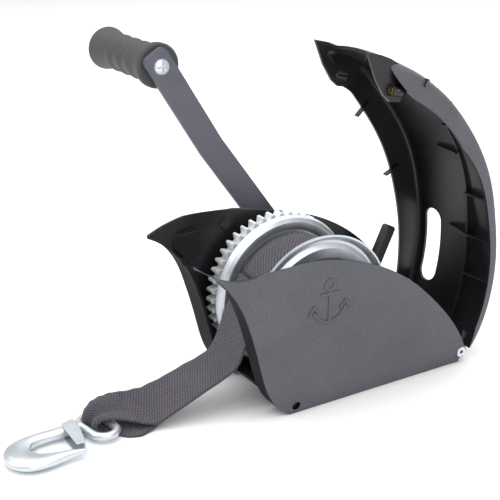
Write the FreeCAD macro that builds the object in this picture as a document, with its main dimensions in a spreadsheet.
import FreeCAD, Part
import math
import os
from types import SimpleNamespace

import Sketcher

# Boat trailer winch with its hinged upper cover standing open.
# Frame: +X along the reel axis towards the plain cover, -Y towards the strap's exit, +Z up.
# Origin: centre of the four mounting holes, on the underside of the base plate.

V = FreeCAD.Vector
X_AXIS = V(1, 0, 0)
Y_AXIS = V(0, 1, 0)
TURN = 360

DIMENSIONS = {
    # steel frame
    "plate": 3, "base_plate": 3.5, "base_front": -102.8, "base_rear": 98,
    "plate_left": -58.5, "plate_right": 43,
    "bolt_span_x": 50, "bolt_span_y": 170, "bolt_hole": 5.25,
    # reel
    "reel_y": -55, "reel_z": 86, "flange_gap": 54, "flange_radius": 78.6,
    "flange_sheet": 2.2, "core_radius": 22, "core_bore": 9.05, "shaft_radius": 8,
    "strap_width": 50.8, "roll_radius": 64, "strap_sheet": 2.4,
    # gear pair
    "module": 3.25, "gear_teeth": 47, "pinion_teeth": 12, "gear_left": -53.7, "gear_width": 11.6,
    "mesh_angle": -30.7,
    # pinion shaft, ratchet and crank
    "pinion_shaft": 7, "ratchet_teeth": 12, "ratchet_radius": 25.5, "ratchet_left": -41,
    "ratchet_width": 4.6, "pawl_y": 54, "pawl_z": 64.7, "pawl_pin": 4,
    "arm_width": 28, "arm_sheet": 5, "arm_inner": -73, "arm_low": 213.5, "arm_high": 103,
    "arm_offset": 52.6, "arm_lean": 31.8,
    "grip_length": 124, "grip_radius": 22.6, "grip_waist": 17.5, "grip_bolt": 5,
    # covers
    "wall": 3, "right_edge": 57, "right_face": 63, "left_edge": 66.3, "left_face": 69.3,
    "band_inner": 38, "tip_half": 46, "tip_band": 43.2,
    # upper cover and its hinge
    "hinge_y": 106, "hinge_z": 13.5, "hinge_pin": 4, "lid_open": 46, "lid_half": 62.5,
    # hook
    "hook_x": -8, "hook_y": -275, "hook_z": 6.7, "hook_turn": 13.5,
}

doc = FreeCAD.newDocument("winch")
sheet = doc.addObject("Spreadsheet::Sheet", "dims")
for row, (alias, number) in enumerate(DIMENSIONS.items(), start=1):
    sheet.set(f"A{row}", alias)
    sheet.set(f"B{row}", str(number))
    sheet.setAlias(f"B{row}", alias)
doc.recompute()


class Size:
    """A length that knows its number and the spreadsheet expression it comes from."""

    def __init__(self, number, text):
        self.number = number
        self.text = text

    def join(self, other, sign, number):
        return Size(number, f"({self.text} {sign} {text_of(other)})")

    def __add__(self, other):
        return self.join(other, "+", self.number + float(other))

    def __sub__(self, other):
        return self.join(other, "-", self.number - float(other))

    def __mul__(self, other):
        return self.join(other, "*", self.number * float(other))

    def __truediv__(self, other):
        return self.join(other, "/", self.number / float(other))

    def __radd__(self, other):
        return Size(float(other), text_of(other)) + self

    def __rsub__(self, other):
        return Size(float(other), text_of(other)) - self

    def __rmul__(self, other):
        return self * other

    def __neg__(self):
        return Size(-self.number, f"(0 - {self.text})")

    def __float__(self):
        return float(self.number)


def text_of(value):
    return value.text if isinstance(value, Size) else repr(float(value))


d = SimpleNamespace(**{name: Size(sheet.get(name), f"dims.{name}") for name in DIMENSIONS})
NODES = []


def bind(target, **sizes):
    """Bind properties of an object to sizes; a name such as Placement__Base__x reaches into a property."""
    for name, size in sizes.items():
        target.setExpression(name.replace("__", "."), text_of(size))


def place(target, x=0, y=0, z=0):
    bind(target, Placement__Base__x=x, Placement__Base__y=y, Placement__Base__z=z)


def node(target, name):
    """Name a finished sub-part and list it for export."""
    target.Label = name
    NODES.append(target)
    return target


# ---------------------------------------------------------------- sketch and feature helpers

def origin_feature(body, role):
    return next(item for item in body.Origin.OriginFeatures if item.Role == role)


def new_body(name, x=0, y=0, z=0):
    body = doc.addObject("PartDesign::Body", name.replace("_", " ").title().replace(" ", ""))
    place(body, x, y, z)
    return node(body, name)


def new_sketch(body, role, offset=0):
    drawing = body.newObject("Sketcher::SketchObject", "Outline")
    drawing.AttachmentSupport = [(origin_feature(body, role), "")]
    drawing.MapMode = "FlatFace"
    bind(drawing, AttachmentOffset__Base__z=offset)
    return drawing


def pin_point(drawing, geometry, point, x, y):
    for kind, size in (("DistanceX", x), ("DistanceY", y)):
        index = drawing.addConstraint(Sketcher.Constraint(kind, -1, 1, geometry, point, float(size)))
        if isinstance(size, Size):
            drawing.setExpression(f"Constraints[{index}]", size.text)


def polygon(body, role, points, offset=0):
    """A closed outline of straight edges whose corners are all dimensioned."""
    drawing = new_sketch(body, role, offset)
    corners = [V(float(x), float(y), 0) for x, y in points]
    last = len(corners) - 1
    for index, corner in enumerate(corners):
        following = corners[0 if index == last else index + 1]
        drawing.addGeometry(Part.LineSegment(corner, following))
    for index in range(len(corners)):
        following = 0 if index == last else index + 1
        drawing.addConstraint(Sketcher.Constraint("Coincident", index, 2, following, 1))
    for index, (x, y) in enumerate(points):
        pin_point(drawing, index, 1, x, y)
    return drawing


def circles(body, role, rounds, offset=0):
    """One sketch with any number of (x, y, radius) circles."""
    drawing = new_sketch(body, role, offset)
    for index, (x, y, radius) in enumerate(rounds):
        centre = V(float(x), float(y), 0)
        drawing.addGeometry(Part.Circle(centre, V(0, 0, 1), float(radius)))
        pin_point(drawing, index, 3, x, y)
        slot = drawing.addConstraint(Sketcher.Constraint("Radius", index, float(radius)))
        if isinstance(radius, Size):
            drawing.setExpression(f"Constraints[{slot}]", radius.text)
    return drawing


def pad(body, drawing, length, both=False, back=False):
    solid = body.newObject("PartDesign::Pad", "Pad")
    solid.Profile = drawing
    solid.Midplane = both
    solid.Reversed = back
    bind(solid, Length=length)
    drawing.Visibility = False
    return solid


def pocket(body, drawing, length=None, both=False, back=False):
    cut = body.newObject("PartDesign::Pocket", "Pocket")
    cut.Profile = drawing
    cut.Midplane = both
    cut.Reversed = back
    if length is None:
        cut.Type = "ThroughAll"
    else:
        bind(cut, Length=length)
    return cut


def revolve(body, drawing, axis="H_Axis"):
    solid = body.newObject("PartDesign::Revolution", "Revolution")
    solid.Profile = drawing
    solid.ReferenceAxis = (drawing, [axis])
    solid.Angle = TURN
    return solid


def around_x(body, feature, count):
    pattern = body.newObject("PartDesign::PolarPattern", "Pattern")
    pattern.Originals = [feature]
    pattern.Axis = (origin_feature(body, "X_Axis"), [""])
    pattern.Angle = TURN
    if isinstance(count, Size):
        bind(pattern, Occurrences=count)
    else:
        pattern.Occurrences = count
    body.Tip = pattern
    return pattern


def rod(radius, length, x, y, z):
    """A cylinder lying along +X from the given end."""
    bar = doc.addObject("Part::Cylinder", "Rod")
    bar.Placement = FreeCAD.Placement(V(), FreeCAD.Rotation(Y_AXIS, 90))
    bind(bar, Radius=radius, Height=length)
    place(bar, x, y, z)
    return bar


def hexagon(across, length, x, y, z):
    """A six-sided nut blank lying along +X."""
    blank = doc.addObject("Part::Prism", "Hexagon")
    blank.Polygon = 6
    blank.Placement = FreeCAD.Placement(V(), FreeCAD.Rotation(Y_AXIS, 90))
    bind(blank, Circumradius=across / math.sqrt(3), Height=length)
    place(blank, x, y, z)
    return blank


def fuse(*pieces):
    joined = doc.addObject("Part::MultiFuse", "Joined")
    joined.Shapes = list(pieces)
    return joined


def cut(base, tool):
    result = doc.addObject("Part::Cut", "Cut")
    result.Base = base
    result.Tool = tool
    return result


def tube(outer, inner, length, x, y, z):
    return cut(rod(outer, length, x, y, z), rod(inner, length + 2, x - 1, y, z))


def group(*pieces):
    """Separate solids kept in one sub-part."""
    compound = doc.addObject("Part::Compound", "Group")
    compound.Links = list(pieces)
    return compound


def feature(shape, name, placement=None):
    """A sub-part whose shape is made in code from the sheet's sizes."""
    item = doc.addObject("Part::Feature", "Shape")
    item.Shape = shape
    if placement is not None:
        item.Placement = placement
    return node(item, name)


def curve(points, x=None):
    """A smooth edge through points: (y, z) pairs in the plane at x, or full vectors."""
    places = [V(x, float(y), float(z)) for y, z in points] if x is not None else points
    spline = Part.BSplineCurve()
    spline.interpolate(places)
    return spline.toShape()


def line(start, end):
    return Part.makeLine(start, end)


# ---------------------------------------------------------------- gear teeth

PRESSURE = math.radians(25)
ADDENDUM = 0.8
DEDENDUM = 1.08
BACKLASH = 0.35


def involute(angle):
    return math.tan(angle) - angle


def tooth_gap(teeth, module, at_degrees):
    """Corner points of one tooth space, its centre line turned to the given angle."""
    pitch = teeth * module / 2
    base = pitch * math.cos(PRESSURE)
    root = pitch - DEDENDUM * module
    tip = pitch + ADDENDUM * module
    half_tooth = math.pi / 2 / teeth - BACKLASH / 2 / pitch + involute(PRESSURE)
    radii = [root, max(base, root) + 0.15 * module, pitch, (pitch + tip) / 2, tip, tip + 0.35 * module]
    side = []
    for radius in radii:
        inner = max(radius, base * 1.0005)
        half_gap = math.pi / teeth - half_tooth + involute(math.acos(base / inner))
        side.append((radius, half_gap))
    turn = math.radians(at_degrees)
    left = [(r * math.cos(turn + a), r * math.sin(turn + a)) for r, a in side]
    right = [(r * math.cos(turn - a), r * math.sin(turn - a)) for r, a in reversed(side)]
    return left + right


def toothed_disc(name, teeth, left, width, bore, at_degrees, x_y_z):
    """A spur gear around the X axis, cut one tooth space at a time."""
    body = new_body(name, *x_y_z)
    tip = d.module * (teeth / 2 + ADDENDUM)
    pad(body, circles(body, "YZ_Plane", [(0, 0, tip), (0, 0, bore)], left), width)
    gap = polygon(body, "YZ_Plane", tooth_gap(int(float(teeth)), float(d.module), at_degrees), left)
    cut_gap = pocket(body, gap, width, back=True)
    around_x(body, cut_gap, teeth)
    return body


GEAR_CENTRES = d.module * (d.gear_teeth + d.pinion_teeth) / 2
MESH = math.radians(float(d.mesh_angle))
PINION_Y = d.reel_y + GEAR_CENTRES * math.cos(MESH)
PINION_Z = d.reel_z + GEAR_CENTRES * math.sin(MESH)


# ---------------------------------------------------------------- steel frame

def side_plate_waste():
    """The region above the side plates' outline, as seen along +X; it is cut from the folded channel."""
    boss = 20
    low = 14
    return [
        (d.base_front - 2, low), (-86, 34), (d.reel_y - boss - 4, d.reel_z), (d.reel_y - 14, d.reel_z + boss),
        (d.reel_y + 14, d.reel_z + boss), (-22, 92), (14, 68), (d.pawl_y - 20, d.pawl_z + 13),
        (d.pawl_y + 5, d.pawl_z + 13), (d.pawl_y + 15, d.pawl_z), (64, 30), (90, low + 2),
        (d.hinge_y - 8, d.hinge_z + 9), (d.hinge_y + 6, d.hinge_z + 9), (d.hinge_y + 12, d.hinge_z + 2),
        (d.hinge_y + 12, 200), (d.base_front - 2, 200),
    ]


def base_frame():
    body = new_body("base_frame")
    height = d.reel_z + 22
    left, right, sheet_metal, floor = d.plate_left, d.plate_right, d.plate, d.base_plate
    channel = polygon(body, "XZ_Plane", [
        (left, 0), (right, 0), (right, height), (right - sheet_metal, height), (right - sheet_metal, floor),
        (left + sheet_metal, floor), (left + sheet_metal, height), (left, height),
    ], -(d.hinge_y + 9))
    pad(body, channel, d.hinge_y + 9 - d.base_front)
    pocket(body, polygon(body, "YZ_Plane", side_plate_waste()), 300, both=True)
    rear = d.hinge_y + 12
    notch = [(left + sheet_metal, d.base_rear), (right - sheet_metal, d.base_rear),
             (right - sheet_metal, rear), (left + sheet_metal, rear)]
    pocket(body, polygon(body, "XY_Plane", notch), 40, both=True)
    x, y = d.bolt_span_x / 2, d.bolt_span_y / 2
    mounting = [(x, y), (-x, y), (x, -y), (-x, -y)]
    pocket(body, circles(body, "XY_Plane", [(px, py, d.bolt_hole) for px, py in mounting]), 40, both=True)
    across = [
        (d.reel_y, d.reel_z, d.shaft_radius + 0.05), (PINION_Y, PINION_Z, d.pinion_shaft + 3),
        (d.hinge_y, d.hinge_z, d.hinge_pin + 0.05), (COVER_SCREW_Y, COVER_SCREW_Z, SCREW_RADIUS + 0.05),
    ]
    pocket(body, circles(body, "YZ_Plane", across), 300, both=True)
    pivot_hole = circles(body, "YZ_Plane", [(d.pawl_y, d.pawl_z, d.pawl_pin + 0.05)], left - 1)
    pocket(body, pivot_hole, sheet_metal + 2, back=True)
    return body


COVER_SCREW_Y = -99.5
COVER_SCREW_Z = 8.5
SCREW_RADIUS = 2.5


def shaft_parts():
    """Bolt that the reel turns on, its nut, and the two bushes of the pinion shaft."""
    head = 6
    nut = 6.5
    left, right = d.plate_left, d.plate_right
    shank = rod(d.shaft_radius, right - left + nut + 3, left, d.reel_y, d.reel_z)
    bolt = fuse(shank, hexagon(24, head, left - head, d.reel_y, d.reel_z))
    node(bolt, "reel_shaft_bolt")
    blank = hexagon(24, nut, right + 0.1, d.reel_y, d.reel_z)
    bore = rod(d.shaft_radius, nut + 2, right - 1, d.reel_y, d.reel_z)
    node(cut(blank, bore), "reel_shaft_nut")
    bushes = []
    for start in (left - 1.5, right - d.plate - 0.5):
        inner = d.pinion_shaft + 0.05
        bushes.append(tube(d.pinion_shaft + 3, inner, d.plate + 2, start, PINION_Y, PINION_Z))
    node(group(*bushes), "pinion_bushes")


def pivot_parts():
    """Shoulder bolt of the ratchet lever with its spacer, and the lever's torsion spring."""
    left = d.plate_left
    lever = d.ratchet_left
    y, z = d.pawl_y, d.pawl_z
    tip = lever + d.ratchet_width + 9
    shank = rod(d.pawl_pin, tip - left, left, y, z)
    head = hexagon(11, 4, left - 4, y, z)
    stop = rod(7, 2, tip - 0.5, y, z)
    node(fuse(shank, head, stop), "pawl_pivot_bolt")
    start = left + d.plate
    node(tube(6.5, d.pawl_pin + 0.05, lever - start - 0.25, start + 0.05, y, z), "pawl_spacer")
    wire = 0.6
    coil_radius = 5.4
    turns = 4
    pitch = 1.5
    helix = Part.makeHelix(pitch, pitch * turns, coil_radius)
    section = Part.Wire(Part.makeCircle(wire, V(coil_radius, 0, 0), Y_AXIS))
    coil = Part.Wire(helix).makePipeShell([section], True, True)
    turn_to_x = FreeCAD.Rotation(Y_AXIS, 90)
    place_of_coil = V(float(lever + d.ratchet_width) + 1.1, float(y), float(z))
    feature(coil, "pawl_spring", FreeCAD.Placement(place_of_coil, turn_to_x))


def hinge_rivets():
    """Hollow rivets joining plate, upper cover and side cover at the rear, one each side."""
    inside, clear = d.hinge_pin * 0.55, 0.4
    pieces = []
    right_start = d.plate_right - d.plate - 1.2
    right_end = d.right_edge + EAR_RISE + 0.8
    left_start = -d.left_edge - EAR_RISE - 0.8
    left_end = d.plate_left + d.plate + 1.2
    for start, end in ((right_start, right_end), (left_start, left_end)):
        barrel = tube(d.hinge_pin, inside, end - start, start, d.hinge_y, d.hinge_z)
        pieces.append(barrel)
        for rim in (start - 0.6 - clear / 2, end - 0.6 + clear / 2):
            pieces.append(tube(d.hinge_pin + 1.6, inside, 1.2, rim, d.hinge_y, d.hinge_z))
    right = fuse(*pieces[:3])
    left = fuse(*pieces[3:])
    node(group(right, left), "hinge_rivets")


def cover_screws():
    screws = []
    y, z = COVER_SCREW_Y, COVER_SCREW_Z
    for inner, outer, side in ((d.plate_right, d.right_edge, 1), (-d.plate_left, d.left_edge, -1)):
        seat = outer - 5
        start = inner - d.plate - 1 if side > 0 else -seat
        shank = rod(SCREW_RADIUS, seat - inner + d.plate + 1, start, y, z)
        head = rod(4, 2.4, seat if side > 0 else -seat - 2.4, y, z)
        screws.append(fuse(shank, head))
    node(group(*screws), "cover_screws")


# ---------------------------------------------------------------- side covers

FRONT_EDGE = [(-200, 165), (-177, 148.5), (-162, 128), (-150, 98), (-140, 62), (-129, 26), (-106, 0)]
RIGHT_TOP = [(113, 18), (101, 41), (74, 74), (33, 111), (-6, 134), (-48, 149), (-96, 155.5), (-134, 151.5),
             (-158, 148), (-180, 154), (-200, 168)]
LEFT_TOP = [(114, 20), (107, 46), (91, 79), (64, 109), (26, 135), (-22, 154), (-62, 163), (-104, 170.5),
            (-140, 173), (-172, 171.5), (-200, 168)]
FRONT_CREASE = [(-142, 148), (-127, 117), (-116, 84), (-108, 52), (-96, 28)]
REAR_FOOT = 107
CREASE_FOOT = 100
CREASE_RISE = 19
EAR_RISE = 3.5
INSERT_SEAT = V(0, -166, 140.5)
INSERT_AXIS = V(0, -0.83, -0.55)
INSERT_LEFT = -41.8
INSERT_RIGHT = 44.3
INSERT_BOSS = 5.2
TIP_BAND_FOOT = 131


def shifted(points, dy, dz):
    return [(y + dy, z + dz) for y, z in points]


def ring_at(x, front, top, foot, foot_rise):
    """Closed side outline in the plane at x: front curve, bottom, rear, top curve and blunt tip."""
    corner = V(x, foot, foot_rise)
    edges = [
        curve(front, x), line(V(x, *front[-1]), corner), line(corner, V(x, *top[0])),
        curve(top, x), line(V(x, *top[-1]), V(x, *front[0])),
    ]
    return Part.Wire(edges)


def plan_prism(edge, face, tip, inset):
    """Everything inboard of the cover's plan line, which narrows towards the front tip."""
    line_points = [(-212, tip - 5), (-200, tip), (-185, tip + (edge - tip) * 0.38), (-165, tip + (edge - tip) * 0.78),
                   (-148, edge + 0.6), (-120, face - 1.2), (-95, face)]
    spots = [V(x - inset, y, -5) for y, x in line_points]
    bend = curve(spots)
    rear = V(face - inset, 130, -5)
    far = V(0, 130, -5)
    near = V(0, -212, -5)
    wire = Part.Wire([bend, line(spots[-1], rear), line(rear, far), line(far, near), line(near, spots[0])])
    return Part.Face(wire).extrude(V(0, 0, 200))


def cover_block(edge, face, inner_x, top, tip, inset):
    """Solid block of a cover: straight band, bevelled shoulder and flat face, inset all round for the hollow."""
    rise, sink, beyond = (12, -2, 12) if inset else (0, 0, 0)
    front = shifted(FRONT_EDGE, inset * 1.05, -inset * 0.1)
    front[-1] = (FRONT_EDGE[-1][0] + inset, sink)
    crease = shifted(FRONT_CREASE, inset, 0)
    upper = shifted(top, 0, rise)
    upper[0] = (top[0][0] + beyond, top[0][1] + rise)
    inner_top = [(y * 0.985 - 2, z) for y, z in upper[:-3]] + [(crease[0][0] - 1.5, crease[0][1] + 2 + rise)]
    low = ring_at(edge - inset, front, upper, REAR_FOOT + beyond, sink)
    high = ring_at(face - inset, crease, inner_top, CREASE_FOOT + beyond, CREASE_RISE)
    shoulder = Part.makeLoft([low, high], True, True)
    depth = edge - inset - inner_x
    band = Part.Face(low).extrude(V(-depth, 0, 0))
    return shoulder.fuse(band).common(plan_prism(edge, face, tip, inset))


def bored_boss(side_x, end_x, y, z, outer, bore):
    length = side_x - end_x
    wall = Part.makeCylinder(outer, length, V(end_x, y, z), X_AXIS)
    hole = Part.makeCylinder(bore, length + 12, V(end_x - 2, y, z), X_AXIS)
    return wall, hole


def cover(edge, face, top, plate_x, insert_x, extra_holes):
    """One side cover, built on the +X side."""
    tip = float(d.tip_half)
    wall = float(d.wall)
    block = cover_block(edge, face, float(d.band_inner), top, tip, 0)
    hollow = cover_block(edge, face, float(d.band_inner) - 8, top, tip, wall)
    shell = block.cut(hollow)
    post, post_hole = bored_boss(edge + 1, plate_x + 0.3, COVER_SCREW_Y, COVER_SCREW_Z, 6.5, SCREW_RADIUS + 0.1)
    recess = Part.makeCylinder(4.4, 12, V(edge - 5, COVER_SCREW_Y, COVER_SCREW_Z), X_AXIS)
    ear_face = edge + EAR_RISE
    hinge_y, hinge_z = float(d.hinge_y), float(d.hinge_z)
    ear, ear_hole = bored_boss(ear_face, edge - 2.5, hinge_y, hinge_z, 7.5, float(d.hinge_pin) + 0.05)
    ear_recess = Part.makeCylinder(6.4, 10, V(ear_face, hinge_y, hinge_z), X_AXIS)
    rear_trim = Part.makeBox(60, 40, 40, V(30, hinge_y + 8.2, -5))
    shell = shell.fuse([post, ear]).cut([post_hole, recess, ear_hole, ear_recess, rear_trim])
    slot = Part.makeCylinder(2.6, 24, INSERT_SEAT + X_AXIS * insert_x + INSERT_AXIS * 12, INSERT_AXIS * -1)
    cut_back = Part.makeBox(float(d.tip_band) - 30, 60, 80, V(30, -215, TIP_BAND_FOOT))
    return shell.cut([slot, cut_back] + extra_holes)


def side_covers():
    right = cover(float(d.right_edge), float(d.right_face), RIGHT_TOP, float(d.plate_right), INSERT_RIGHT, [])
    feature(right.removeSplitter(), "right_cover")
    crank_hole = Part.makeCylinder(float(d.pinion_shaft) + 5, 60, V(40, float(PINION_Y), float(PINION_Z)), X_AXIS)
    left = cover(float(d.left_edge), float(d.left_face), LEFT_TOP, -float(d.plate_left), -INSERT_LEFT,
                 [crank_hole])
    left = left.fuse(inner_pocket() + inner_ribs()).removeSplitter()
    feature(left.mirror(V(), X_AXIS), "left_cover")


def plate_on(corners, start, thick):
    """Flat plate with the given (y, z) corners, standing from start along +X."""
    spots = [V(start, y, z) for y, z in corners]
    return Part.Face(Part.makePolygon(spots + [spots[0]])).extrude(X_AXIS * thick)


def inner_pocket():
    """Open-bottomed pocket moulded inside the left cover near its tip, drawn on the +X side."""
    face, sheet_metal = 57.6, 1.3
    root = float(d.left_edge) - 1.5
    outline = [(-176, 156.5), (-137, 157.5), (-137, 132), (-152, 128)]
    side = plate_on(outline, face, sheet_metal)
    top = plate_on([(-176, 155), (-176, 156.5), (-137, 157.5), (-137, 156)], face, root - face)
    end = plate_on([(-138.4, 157), (-137, 157), (-137, 132), (-138.4, 132)], face, root - face)
    inside = cover_block(float(d.left_edge), float(d.left_face), 30, LEFT_TOP, float(d.tip_half), 1)
    return [piece.common(inside) for piece in (side, top, end)]


def inner_ribs():
    """Small square stop and two stiffening ribs on the left cover's inner face."""
    face = float(d.left_face) - 1.5
    stop = plate_on([(-112, 156), (-105, 163), (-98, 156), (-105, 149)], face - 5, 5)
    level = Part.makeBox(2.6, 60, 1.4, V(face - 2.6, -150, 118))
    upright = Part.makeBox(2.6, 1.4, 62, V(face - 2.6, -128, 56))
    inside = cover_block(float(d.left_edge), float(d.left_face), 30, LEFT_TOP, float(d.tip_half), 1)
    return [piece.common(inside) for piece in (stop, level, upright)]


# ---------------------------------------------------------------- upper cover

CLOSED_ROOF = [  # crown line (y, z), half widths left and right, wall depths left and right, rib height
    (-197, 157, 41.5, 41.5, 14, 14, 6), (-186, 163.5, 42, 42, 20, 20, 7),
    (-175, 168, 46.5, 49.5, 29, 27, 9), (-150, 175.5, 53, 55.5, 34, 30, 9),
    (-111, 180, 60, 61, 34, 31, 6), (-70, 178, 62, 62.5, 36, 25, 3), (-30, 170.5, 62.5, 62.5, 38, 20, 3),
    (15, 151, 62.5, 62.5, 38, 17.5, 4), (55, 124.5, 62.5, 62.5, 36, 16.5, 8), (88, 93, 62.5, 62.5, 33, 16, 9),
    (110, 59, 62.5, 62.5, 27, 15.5, 8), (121, 24, 62.5, 62.5, 20, 15, 5),
]
CROWN = 3.0
SHOULDER = 9.0


def roof_curve():
    spline = Part.BSplineCurve()
    spline.interpolate([V(0, row[0], row[1]) for row in CLOSED_ROOF])
    return spline


def roof_frames():
    """Point, outward normal and row of figures at each station of the crown line."""
    spline = roof_curve()
    frames = []
    for row in CLOSED_ROOF:
        place_on = V(0, row[0], row[1])
        tangent = spline.tangent(spline.parameter(place_on))[0]
        normal = V(0, -tangent.z, tangent.y)
        if normal.z < 0 and row[0] < 0:
            normal = normal * -1
        frames.append((place_on, normal, row))
    return frames


def channel_section(place_on, normal, left, right, deep_left, deep_right):
    """Inverted U of the roof and its two walls, drawn across one station."""
    wall = float(d.wall)
    radius = SHOULDER
    near = radius * (1 - math.sqrt(0.5))

    def at(x, n):
        return place_on + X_AXIS * x + normal * n

    def arc(a, b, c):
        return Part.Arc(at(*a), at(*b), at(*c)).toShape()

    middle = (right - left) / 2
    low = -(CROWN + radius)
    thin = radius - wall
    thin_near = thin * (1 - math.sqrt(0.5))
    edges = [
        line(at(-left, -deep_left), at(-left, low)),
        arc((-left, low), (-left + near, -CROWN - near), (-left + radius, -CROWN)),
        arc((-left + radius, -CROWN), (middle, 0), (right - radius, -CROWN)),
        arc((right - radius, -CROWN), (right - near, -CROWN - near), (right, low)),
        line(at(right, low), at(right, -deep_right)),
        line(at(right, -deep_right), at(right - wall, -deep_right)),
        line(at(right - wall, -deep_right), at(right - wall, low)),
        arc((right - wall, low), (right - wall - thin_near, low + thin - thin_near), (right - radius, low + thin)),
        arc((right - radius, low + thin), (middle, -wall), (-left + radius, low + thin)),
        arc((-left + radius, low + thin), (-left + wall + thin_near, low + thin - thin_near), (-left + wall, low)),
        line(at(-left + wall, low), at(-left + wall, -deep_left)),
        line(at(-left + wall, -deep_left), at(-left, -deep_left)),
    ]
    return Part.Wire(edges)


def long_rib(frames, x, thick):
    """Stiffening rib that runs the length of the roof."""
    wall = float(d.wall)
    upper = [place_on - normal * (wall * 0.6) for place_on, normal, row in frames]
    lower = [place_on - normal * (wall + row[6]) for place_on, normal, row in frames]
    top_edge, low_edge = curve(upper), curve(lower)
    wire = Part.Wire([top_edge, line(upper[-1], lower[-1]), low_edge, line(lower[0], upper[0])])
    return Part.Face(wire).extrude(X_AXIS * thick).translated(X_AXIS * x)


def cross_rib(place_on, normal, start, end, deep_start, deep_end):
    """Gusset across the roof whose height changes from one end to the other."""
    wall = float(d.wall)
    thick = 2.0
    tangent = X_AXIS.cross(normal)
    top = -wall * 0.6 - CROWN * (max(abs(start), abs(end)) / 62) ** 2
    corners = [(start, top), (end, top), (end, -wall - CROWN - deep_end), (start, -wall - CROWN - deep_start)]
    spots = [place_on + X_AXIS * x + normal * n - tangent * (thick / 2) for x, n in corners]
    return Part.Face(Part.makePolygon(spots + [spots[0]])).extrude(tangent * thick)


def hinge_ear(x, thick):
    y, z = float(d.hinge_y), float(d.hinge_z)
    spots = [V(x, y - 8, z), V(x, y - 5, z - 6), V(x, y + 2, z - 8), V(x, y + 9, z - 4),
             V(x, y + 14, z + 12), V(x, y + 12.5, z + 22), V(x, y - 2, z + 22)]
    return Part.Face(Part.makePolygon(spots + [spots[0]])).extrude(X_AXIS * thick)


def lever_slot():
    """Rounded slot through the roof that the ratchet lever passes through."""
    start, end = V(0, 46, 128), V(0, 103, 66)
    along = (end - start).normalize()
    normal = V(0, -along.z, along.y)
    centre_x = -39.5
    half = 11.5
    start = start + X_AXIS * centre_x + normal * 12
    end = end + X_AXIS * centre_x + normal * 12
    rounds = [Part.makeCylinder(half, 50, spot, normal * -1) for spot in (start + along * half, end - along * half)]
    length = (end - start).Length - 2 * half
    corner = start + along * half - X_AXIS * half
    flat = Part.makePolygon([corner, corner + X_AXIS * 2 * half, corner + X_AXIS * 2 * half + along * length,
                             corner + along * length, corner])
    return Part.Face(flat).extrude(normal * -50).fuse(rounds)


def horn(x):
    """Pointed inner plate beside the front lip; it carries one threaded insert."""
    outline = [(-211, 147), (-197, 156), (-186, 161), (-172, 165), (-150, 170), (-148, 141), (-157, 134),
               (-167, 133), (-186, 137)]
    return plate_on(outline, x, float(d.wall))


def edge_fin(y, z, lean):
    """Thin locating fin that stands out past the left wall's free edge."""
    fin = Part.makeBox(6, 1.6, 20, V(-61.5, -0.8, -11))
    fin.Placement = FreeCAD.Placement(V(0, y, z), FreeCAD.Rotation(X_AXIS, lean))
    return fin


def insert_boss(x, radius):
    """The round post behind a threaded insert."""
    return Part.makeCylinder(radius, 12, INSERT_SEAT + X_AXIS * x, INSERT_AXIS * -1)


def room_for_covers():
    """What the closed cover must leave free: the front bands, and the right cover up to its top edge."""
    gap = 0.8
    front, rear, low, high = -240, 113 + gap, -10, 200
    between_tips = float(d.tip_band) - gap
    back = shifted(FRONT_EDGE, float(d.wall) * 1.05 + gap, 0)
    start = float(d.band_inner) - gap
    spots = [V(start, y, z) for y, z in (back[-1], (front, back[-1][1]), (front, high), (back[0][0], high), back[0])]
    rim = Part.Wire([curve(back, start)] + [line(a, b) for a, b in zip(spots, spots[1:])])
    before_band = Part.Face(rim).extrude(X_AXIS * 60)
    before_band = before_band.cut(Part.makeBox(between_tips - 30, 300, 100, V(30, front, TIP_BAND_FOOT - gap)))
    top = shifted(RIGHT_TOP, 0, gap)
    top[0] = (rear, top[0][1])
    spots = [V(between_tips, y, z) for y, z in (top[-1], (front, top[-1][1]), (front, low), (rear, low), top[0])]
    rim = Part.Wire([curve(top, between_tips)] + [line(a, b) for a, b in zip(spots, spots[1:])])
    boss_room = insert_boss(INSERT_RIGHT, INSERT_BOSS + 0.4)
    beside = Part.Face(rim).extrude(X_AXIS * 40).cut(boss_room)
    return [before_band, before_band.mirror(V(), X_AXIS), beside]


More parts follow.
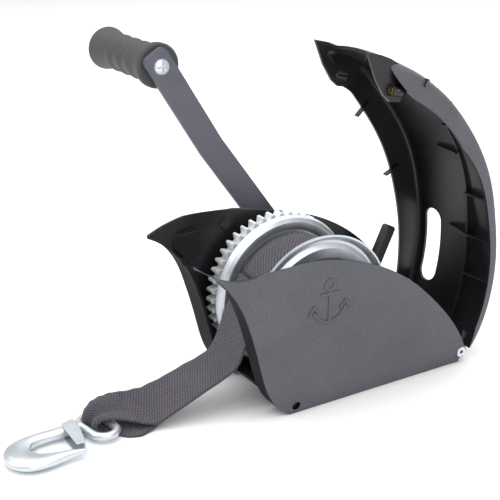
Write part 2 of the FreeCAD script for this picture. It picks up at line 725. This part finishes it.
def upper_cover():
    frames = roof_frames()
    sections = [channel_section(place_on, normal, *row[2:6]) for place_on, normal, row in frames]
    shell = Part.makeLoft(sections, True, False)
    ribs = [long_rib(frames, 19, 2.4)]
    for station in (3, 4, 5, 7, 8, 9):
        place_on, normal, row = frames[station]
        ribs.append(cross_rib(place_on, normal, 20, 58, row[6], min(row[6], 6)))
    for station in (4, 6, 8):
        place_on, normal, row = frames[station]
        ribs.append(cross_rib(place_on, normal, -12, 20, 0.2, row[6]))
    ears = [hinge_ear(-float(d.lid_half), float(d.wall)), hinge_ear(float(d.plate_right) + 0.6, float(d.wall))]
    bosses = []
    drills = []
    for x in (INSERT_LEFT, INSERT_RIGHT):
        bosses.append(insert_boss(x, INSERT_BOSS))
        drills.append(Part.makeCylinder(3.22, 10, INSERT_SEAT + X_AXIS * x + INSERT_AXIS, INSERT_AXIS * -1))
    pins = [Part.makeCylinder(float(d.hinge_pin) + 0.06, 140, V(-70, float(d.hinge_y), float(d.hinge_z)), X_AXIS)]
    heel = Part.makeCylinder(9.3, 20, V(50, float(d.hinge_y), float(d.hinge_z)), X_AXIS)
    tools = [lever_slot(), heel] + room_for_covers() + drills + pins
    between = float(d.tip_band) - 0.8
    horns = [horn(-between), horn(between - float(d.wall))]
    fins = [edge_fin(-102, 146, 0), edge_fin(-20, 127, -18)]
    whole = shell.fuse(ribs + ears + bosses + horns + fins).cut(tools).removeSplitter()
    feature(whole, "upper_cover", open_placement())
    inserts = []
    for x in (INSERT_LEFT, INSERT_RIGHT):
        outer = Part.makeCylinder(3.2, 8, INSERT_SEAT + X_AXIS * x + INSERT_AXIS * 0.4, INSERT_AXIS * -1)
        bore = Part.makeCylinder(1.9, 12, INSERT_SEAT + X_AXIS * x + INSERT_AXIS, INSERT_AXIS * -1)
        inserts.append(outer.cut(bore))
    feature(Part.makeCompound(inserts), "cover_inserts", open_placement())


def open_placement():
    """The covers are drawn shut; this swings a piece about the hinge to where it stands open."""
    pivot = V(0, float(d.hinge_y), float(d.hinge_z))
    return FreeCAD.Placement(V(), FreeCAD.Rotation(X_AXIS, -float(d.lid_open)), pivot)


# ---------------------------------------------------------------- reel

FLANGE_SECTION = [  # distance from the reel's middle plane, radius: strap side outwards, then back
    (28.8, 9.5), (28.8, 53), (31.4, 57), (31.4, 64), (27.8, 68.5), (27.2, 73), (29.2, 76.8), (34.7, 78.6),
    (34.9, 76.6), (31.2, 74.8), (29.6, 72.2), (29.9, 69.6), (33.6, 65.4), (33.6, 55.6), (31, 51.6),
    (31, 9.5),
]
RIVET_CIRCLE = 36
RIVET_RADIUS = 3
ANCHOR_RADIUS = 14.2


def flange(name, side):
    body = new_body(name, 0, d.reel_y, d.reel_z)
    rim = d.flange_radius
    points = [(side * x, rim if radius == 78.6 else radius) for x, radius in FLANGE_SECTION]
    revolve(body, polygon(body, "XZ_Plane", points))
    start = 20 * side - 10
    rivet = circles(body, "YZ_Plane", [(0, RIVET_CIRCLE, RIVET_RADIUS)], start)
    hole = pocket(body, rivet, 40, both=True)
    around_x(body, hole, 4)
    pocket(body, circles(body, "YZ_Plane", [(0, -ANCHOR_RADIUS, RIVET_RADIUS)], start), 60, both=True)
    return body


def reel_gear():
    gap_angle = float(d.mesh_angle)
    body = toothed_disc("reel_gear", d.gear_teeth, d.gear_left, d.gear_width, d.core_bore + 0.45, gap_angle,
                        (0, d.reel_y, d.reel_z))
    rivet = circles(body, "YZ_Plane", [(0, RIVET_CIRCLE, RIVET_RADIUS)], d.gear_left)
    hole = pocket(body, rivet, 60, both=True)
    around_x(body, hole, 4)
    outer, inner = 66, 26
    for face in (d.gear_left, d.gear_left + d.gear_width):
        ring = circles(body, "YZ_Plane", [(0, 0, outer), (0, 0, inner)], face)
        pocket(body, ring, 5, both=True)
    return body


def reel_parts():
    flange("left_flange", -1)
    flange("right_flange", 1)
    reel_gear()
    y, z = d.reel_y, d.reel_z
    inner_face = 28.8
    node(tube(d.core_radius, 19, 2 * inner_face, -inner_face, y, z), "reel_core")
    gear_right = d.gear_left + d.gear_width
    node(tube(21, 18, -31 - gear_right, gear_right, y, z), "gear_spacer")
    bush_bore = d.shaft_radius + 0.05
    left_bush = tube(9.5, bush_bore, 26, d.gear_left - 1, y, z)
    right_bush = tube(9.5, bush_bore, 10.6, inner_face, y, z)
    node(group(left_bush, right_bush), "reel_bushes")
    rivets = []
    for quarter in range(4):
        angle = math.radians(90 * quarter)
        ry, rz = y + RIVET_CIRCLE * math.cos(angle), z + RIVET_CIRCLE * math.sin(angle)
        shank = rod(RIVET_RADIUS, 24.5, d.gear_left + 1, ry, rz)
        rivets.append(fuse(shank, rod(4.6, 1.6, -28.8, ry, rz), rod(4.6, 1.6, d.gear_left + 0.9, ry, rz)))
    node(group(*rivets), "gear_rivets")
    shank = rod(RIVET_RADIUS, 68, -34, y, z - ANCHOR_RADIUS)
    node(fuse(shank, hexagon(5.4, 2.5, 33, y, z - ANCHOR_RADIUS)), "strap_anchor_bolt")
    roll = tube(d.roll_radius, d.core_radius, d.strap_width, -d.strap_width / 2, y, z)
    node(roll, "strap_roll")


# ---------------------------------------------------------------- pinion shaft and crank

def pinion_parts():
    opposite = float(d.mesh_angle) + 180
    half_pitch = 180 / float(d.pinion_teeth)
    where = (0, PINION_Y, PINION_Z)
    toothed_disc("pinion_gear", d.pinion_teeth, d.gear_left - 0.5, d.gear_width + 1.1, d.pinion_shaft,
                 opposite + half_pitch, where)
    end = d.plate_right + 3
    start = d.arm_inner - d.arm_sheet - 8
    node(rod(d.pinion_shaft, end - start, start, PINION_Y, PINION_Z), "pinion_shaft")
    wheel = new_body("ratchet_wheel", *where)
    pad(wheel, circles(wheel, "YZ_Plane", [(0, 0, d.ratchet_radius), (0, 0, d.pinion_shaft)], d.ratchet_left),
        d.ratchet_width)
    deep = float(d.ratchet_radius) - 5
    high = float(d.ratchet_radius) + 1
    lean = math.radians(RATCHET_PHASE)
    slope = lean - math.radians(26)
    notch = [(deep * math.cos(lean), deep * math.sin(lean)), (high * math.cos(lean), high * math.sin(lean)),
             (high * math.cos(slope), high * math.sin(slope))]
    cut_notch = pocket(wheel, polygon(wheel, "YZ_Plane", notch, d.ratchet_left - 1), d.ratchet_width + 2,
                       back=True)
    around_x(wheel, cut_notch, d.ratchet_teeth)


RATCHET_PHASE = 85
ARM_END = 17


def crank_arm():
    body = new_body("crank_arm", d.arm_inner, PINION_Y, PINION_Z)
    set_lean(body)
    flat, sheet_metal, offset = 20, d.arm_sheet, d.arm_offset
    end = d.arm_low + d.arm_high + ARM_END
    side_view = polygon(body, "XZ_Plane", [
        (0, -16), (0, flat), (-offset, d.arm_low), (-offset, end), (-offset - sheet_metal, end),
        (-offset - sheet_metal, d.arm_low + 0.7), (-sheet_metal, flat + 0.7), (-sheet_metal, -16),
    ])
    bar = pad(body, side_view, d.arm_width, both=True)
    doc.recompute()
    corners = [f"Edge{index}" for index, edge in enumerate(bar.Shape.Edges, start=1) if is_corner(edge)]
    rounded = body.newObject("PartDesign::Fillet", "Fillet")
    rounded.Base = (bar, corners)
    rounded.Radius = 7.5
    grip_z = d.arm_low + d.arm_high
    holes = circles(body, "YZ_Plane", [(0, 0, d.pinion_shaft), (0, grip_z, d.grip_bolt - 1)])
    pocket(body, holes, 300, both=True)
    return body


def is_corner(edge):
    """The four short edges across the bar's thickness at its two ends."""
    box = edge.BoundBox
    end = float(d.arm_low + d.arm_high) + ARM_END
    at_end = abs(box.ZMin - end) < 0.01 or abs(box.ZMax + 16) < 0.01
    return at_end and box.XLength > 4 and box.YLength < 0.01 and box.ZLength < 0.01


def set_lean(target):
    bind(target, Placement__Rotation__Angle=d.arm_lean)
    target.setExpression("Placement.Rotation.Axis.x", "1")
    target.setExpression("Placement.Rotation.Axis.y", "0")
    target.setExpression("Placement.Rotation.Axis.z", "0")


def crank_parts():
    crank_arm()
    outer = d.arm_inner - d.arm_sheet
    y, z = PINION_Y, PINION_Z
    node(tube(12, d.pinion_shaft, 1.6, outer - 1.6, y, z), "crank_washer")
    nut = cut(hexagon(20, 6, outer - 7.6, y, z), rod(d.pinion_shaft, 10, outer - 9, y, z))
    node(nut, "crank_nut")
    lean = math.radians(float(d.arm_lean))
    reach = d.arm_low + d.arm_high
    grip_y = PINION_Y - reach * math.sin(lean)
    grip_z = PINION_Z + reach * math.cos(lean)
    seat = d.arm_inner - d.arm_offset
    screw = new_body("grip_screw", 0, grip_y, grip_z)
    shank = d.grip_bolt - 1
    end = seat - d.arm_sheet - d.grip_length + 9
    profile = [(end, 0), (seat + 3.8, 0), (seat + 3.6, 3.4), (seat + 2.4, 6.9), (seat, 8.2), (seat, shank),
               (end, shank)]
    revolve(screw, polygon(screw, "XZ_Plane", profile))
    cross = polygon(screw, "YZ_Plane", crossed_slot(5.8, 0.85), seat + 5)
    pocket(screw, cross, 3.6)
    thread_washer = tube(9.5, shank, 1.2, seat - d.arm_sheet - 1.3, grip_y, grip_z)
    node(thread_washer, "grip_washer")
    nut = cut(hexagon(12, 5, end + 1, grip_y, grip_z), rod(shank, 9, end - 1, grip_y, grip_z))
    node(nut, "grip_nut")
    grip_start = seat - d.arm_sheet - 1.6
    hand_grip(grip_start, end, shank, grip_y, grip_z)


def crossed_slot(reach, half):
    quarter = [(reach, -half), (reach, half), (half, half)]
    points = []
    for turn in range(4):
        angle = math.radians(90 * turn)
        for y, z in quarter:
            points.append((y * math.cos(angle) - z * math.sin(angle), y * math.sin(angle) + z * math.cos(angle)))
    return points


def hand_grip(start, bolt_end, shank, y, z):
    body = new_body("hand_grip", 0, y, z)
    full, waist, length = d.grip_radius, d.grip_waist, d.grip_length
    bore = 8.4
    rounds = [(0, full - 2), (1.5, full), (7, full), (14, waist + 2.2), (19, waist + 0.2), (22, waist)]
    for ridge in (37, 60, 83):
        rounds += [(ridge - 8, waist), (ridge - 4, waist + 1.4), (ridge, waist + 2), (ridge + 4, waist + 1.4),
                   (ridge + 8, waist)]
    rounds += [(98, waist + 0.8), (108, waist + 2.6), (116, full - 0.8), (120.5, full), (122.5, full - 0.9)]
    outline = [(start - along, radius) for along, radius in rounds]
    outline += [(start - length, full - 5), (start - length, 0), (bolt_end - 2, 0), (bolt_end - 2, bore),
                (start, bore)]
    revolve(body, polygon(body, "XZ_Plane", outline))
    sleeve_end = bolt_end + 7
    node(tube(bore, shank + 0.06, start - 0.2 - sleeve_end, sleeve_end, y, z), "grip_sleeve")


# ---------------------------------------------------------------- ratchet lever

LEVER_LEAN = 25.3
LEVER_TOP = 70


def ratchet_lever():
    """Pawl and lever strip cut from one plate, drawn from the pivot with the lever straight up."""
    body = new_body("ratchet_lever", 0, d.pawl_y, d.pawl_z)
    bind(body, Placement__Rotation__Angle=-LEVER_LEAN)
    for axis, amount in (("x", "1"), ("y", "0"), ("z", "0")):
        body.setExpression(f"Placement.Rotation.Axis.{axis}", amount)
    outline = [(-5, 12), (-5, LEVER_TOP - 6), (5, LEVER_TOP - 6), (5, 12), (9, 4), (9, -5), (3, -9), (-6.5, -7.5),
               (-19.5, -10.8), (-21.9, -7.5), (-11, 2), (-8, 7)]
    pad(body, polygon(body, "YZ_Plane", outline, d.ratchet_left), d.ratchet_width)
    hole = circles(body, "YZ_Plane", [(0, 0, d.pawl_pin + 0.06)], d.ratchet_left)
    pocket(body, hole, 20, both=True)
    return body


def lever_sleeve():
    """Plastic sleeve pushed over the top of the lever strip."""
    middle = d.ratchet_left + d.ratchet_width / 2
    wide, thick, low = 14.5, 10, 26
    block = doc.addObject("Part::Box", "Block")
    bind(block, Length=thick, Width=wide, Height=LEVER_TOP - low)
    place(block, middle - thick / 2, -wide / 2, low)
    rounded = doc.addObject("Part::Fillet", "Rounded")
    rounded.Base = block
    doc.recompute()
    rounded.Edges = [(index, 3.2, 3.2) for index in range(1, 13) if not on_low_face(block, index, low)]
    space = doc.addObject("Part::Box", "Space")
    bind(space, Length=d.ratchet_width, Width=10, Height=LEVER_TOP - 6 - low + 1)
    place(space, d.ratchet_left, -5, low - 1)
    sleeve = cut(rounded, space)
    bind(sleeve, Placement__Rotation__Angle=-LEVER_LEAN)
    for axis, amount in (("x", "1"), ("y", "0"), ("z", "0")):
        sleeve.setExpression(f"Placement.Rotation.Axis.{axis}", amount)
    place(sleeve, 0, d.pawl_y, d.pawl_z)
    return node(sleeve, "lever_sleeve")


def on_low_face(block, index, low):
    box = block.Shape.Edges[index - 1].BoundBox
    return abs(box.ZMax - low) < 0.01


# ---------------------------------------------------------------- strap end and hook

EYE_HALF = 10
EYE_RADIUS = 11.5
EYE_BAR = 3.9
LOOP_WIDTH = 19


def hook_placement():
    """Local +X runs across the hook, local +Y from its eye to its bowl, lying flat."""
    turn = FreeCAD.Rotation(V(0, 0, 1), 180 + float(d.hook_turn))
    return FreeCAD.Placement(V(float(d.hook_x), float(d.hook_y), float(d.hook_z)), turn)


def strap_tail():
    """Free end of the strap: off the roll, down to the ground and doubled round the hook's eye."""
    sheet_metal = float(d.strap_sheet)
    half = float(d.strap_width) / 2
    gap = 0.4
    y, z = float(d.reel_y), float(d.reel_z)
    leave = math.radians(150)
    radius = float(d.roll_radius) + gap
    start = V(0, y + radius * math.cos(leave), z + radius * math.sin(leave))
    centre = [start, V(0, -129, 86), V(0, -139, 62), V(0, -148, 45), V(0, -166, 37), V(0, -196, 27),
              V(0, -226, 15), V(0, -244, 9.5), V(0, -254, 7.5)]
    upper = curve([spot + V(0, -0.2, sheet_metal) if index > 3 else spot + V(0, -sheet_metal, 0.6)
                   for index, spot in enumerate(centre)])
    lower = curve(centre)
    ends = [(edge.valueAt(edge.FirstParameter), edge.valueAt(edge.LastParameter)) for edge in (upper, lower)]
    face = Part.Face(Part.Wire([lower, line(ends[1][1], ends[0][1]), upper, line(ends[0][0], ends[1][0])]))
    band = face.extrude(X_AXIS * 2 * half).translated(X_AXIS * (1 - half))
    bar = V(0, EYE_RADIUS, 0)
    loop = Part.makeCylinder(EYE_BAR + 0.3 + sheet_metal, LOOP_WIDTH, V(-LOOP_WIDTH / 2, -bar.y, 0), X_AXIS)
    bore = Part.makeCylinder(EYE_BAR + 0.3, LOOP_WIDTH + 2, V(-LOOP_WIDTH / 2 - 1, -bar.y, 0), X_AXIS)
    neck = Part.makeBox(LOOP_WIDTH, 14, 5.2, V(-LOOP_WIDTH / 2, -bar.y - 18, -1))
    knot = loop.fuse(neck).cut(bore)
    knot.Placement = hook_placement()
    whole = band.fuse(knot)
    floor = Part.makeBox(400, 600, 40, V(-200, -400, -40.05))
    feature(whole.cut(floor).removeSplitter(), "strap_tail")


def sweep(path, start, direction, radius):
    section = Part.Wire(Part.makeCircle(radius, start, direction))
    return Part.Wire(path).makePipeShell([section], True, True)


HOOK_LINE = [  # centre line across and along the hook, half width in its plane, half thickness
    (11, 10, 5.2, 4.3), (13.5, 22, 6, 4.8), (17, 40, 6.2, 4.9), (20, 55, 6.8, 5), (19, 69, 9.6, 5.1),
    (11, 79.5, 12.4, 5.2), (0, 81, 13.4, 5.2), (-10.5, 74.5, 11.4, 5), (-17, 62, 7.8, 4.7), (-21, 49, 4.6, 4.2),
    (-24.6, 38, 2.8, 3.4), (-27, 32, 1.6, 2.2),
]
LATCH_PIN = 1.6
LATCH_X = 13.5
LATCH_Y = 20
LATCH_OUTER = 6.3


def forged_section(x, y, tangent, half_width, half_thick):
    """Rounded, slightly squared ring across the hook's centre line."""
    across = V(tangent.y, -tangent.x, 0)
    spots = []
    for step in range(12):
        angle = math.radians(30 * step)
        wide = math.copysign(abs(math.cos(angle)) ** 0.85, math.cos(angle))
        high = math.copysign(abs(math.sin(angle)) ** 0.85, math.sin(angle))
        spots.append(V(x, y, 0) + across * (half_width * wide) + V(0, 0, half_thick * high))
    ring = Part.BSplineCurve()
    ring.interpolate(spots, PeriodicFlag=True)
    return Part.Wire(ring.toShape())


def hook_body():
    """Forged hook in its own plane: closed eye, and a shank that widens into the bowl and thins to the point."""
    half, turn = EYE_HALF, EYE_RADIUS
    eye = sweep([
        line(V(-half, -turn, 0), V(half, -turn, 0)),
        Part.Arc(V(half, -turn, 0), V(half + turn, 0, 0), V(half, turn, 0)).toShape(),
        line(V(half, turn, 0), V(-half, turn, 0)),
        Part.Arc(V(-half, turn, 0), V(-half - turn, 0, 0), V(-half, -turn, 0)).toShape(),
    ], V(-half, -turn, 0), X_AXIS, EYE_BAR)
    path = Part.BSplineCurve()
    path.interpolate([V(x, y, 0) for x, y, wide, thick in HOOK_LINE])
    rings = []
    for x, y, wide, thick in HOOK_LINE:
        tangent = path.tangent(path.parameter(V(x, y, 0)))[0]
        rings.append(forged_section(x, y, tangent, wide, thick))
    jaw = Part.makeLoft(rings, True, False)
    lug_hole = Part.makeCylinder(LATCH_PIN + 0.03, 40, V(LATCH_X, LATCH_Y, -20), V(0, 0, 1))
    feature(jaw.fuse(eye).cut(lug_hole).removeSplitter(), "hook", hook_placement())
    reach = LATCH_OUTER + 0.4
    rivet = Part.makeCylinder(LATCH_PIN, 2 * reach, V(LATCH_X, LATCH_Y, -reach), V(0, 0, 1))
    feature(rivet, "latch_rivet", hook_placement())


def hook_latch():
    """Folded sheet gate: two cheeks on the rivet and a web that reaches across to the point."""
    outer = LATCH_OUTER
    cheek = 0.9
    reach = [V(19, 14, 0), V(19, 27, 0), V(6, 31, 0), V(-20, 37.5, 0), V(-22, 29.5, 0), V(3, 17.5, 0)]
    plates = []
    for level in (outer - cheek, -outer):
        spots = [spot + V(0, 0, level) for spot in reach]
        plates.append(Part.Face(Part.makePolygon(spots + [spots[0]])).extrude(V(0, 0, cheek)))
    web_line = [V(3, 17.5, -outer), V(-22, 29.5, -outer), V(-21.6, 30.6, -outer), V(3.4, 18.6, -outer)]
    web = Part.Face(Part.makePolygon(web_line + [web_line[0]])).extrude(V(0, 0, 2 * outer))
    hole = Part.makeCylinder(LATCH_PIN + 0.05, 40, V(LATCH_X, LATCH_Y, -20), V(0, 0, 1))
    gate = plates[0].fuse([plates[1], web]).cut(hole).removeSplitter()
    feature(gate, "hook_latch", hook_placement())


# ---------------------------------------------------------------- build, check and export

def build_all():
    base_frame()
    shaft_parts()
    pivot_parts()
    hinge_rivets()
    cover_screws()
    side_covers()
    upper_cover()
    reel_parts()
    pinion_parts()
    crank_parts()
    ratchet_lever()
    lever_sleeve()
    strap_tail()
    hook_body()
    hook_latch()


def check_all():
    """Stop before writing anything if a feature failed or a shape is not sound."""
    for item in doc.Objects:
        if "Invalid" in item.State or "Error" in item.State:
            raise RuntimeError(f"{item.Label} failed: {item.State}")
    for item in NODES:
        if item.Shape.isNull() or not item.Shape.isValid():
            raise RuntimeError(f"{item.Label} has no sound shape")
        if not item.Shape.Solids:
            raise RuntimeError(f"{item.Label} has no solid")


build_all()
doc.recompute()
check_all()
os.makedirs("parts", exist_ok=True)
for item in NODES:
    item.Shape.exportStep(f"parts/{item.Label}.step")
    print(f"{item.Label:20s} solids {len(item.Shape.Solids)}  volume {item.Shape.Volume / 1000:8.2f} cm3")
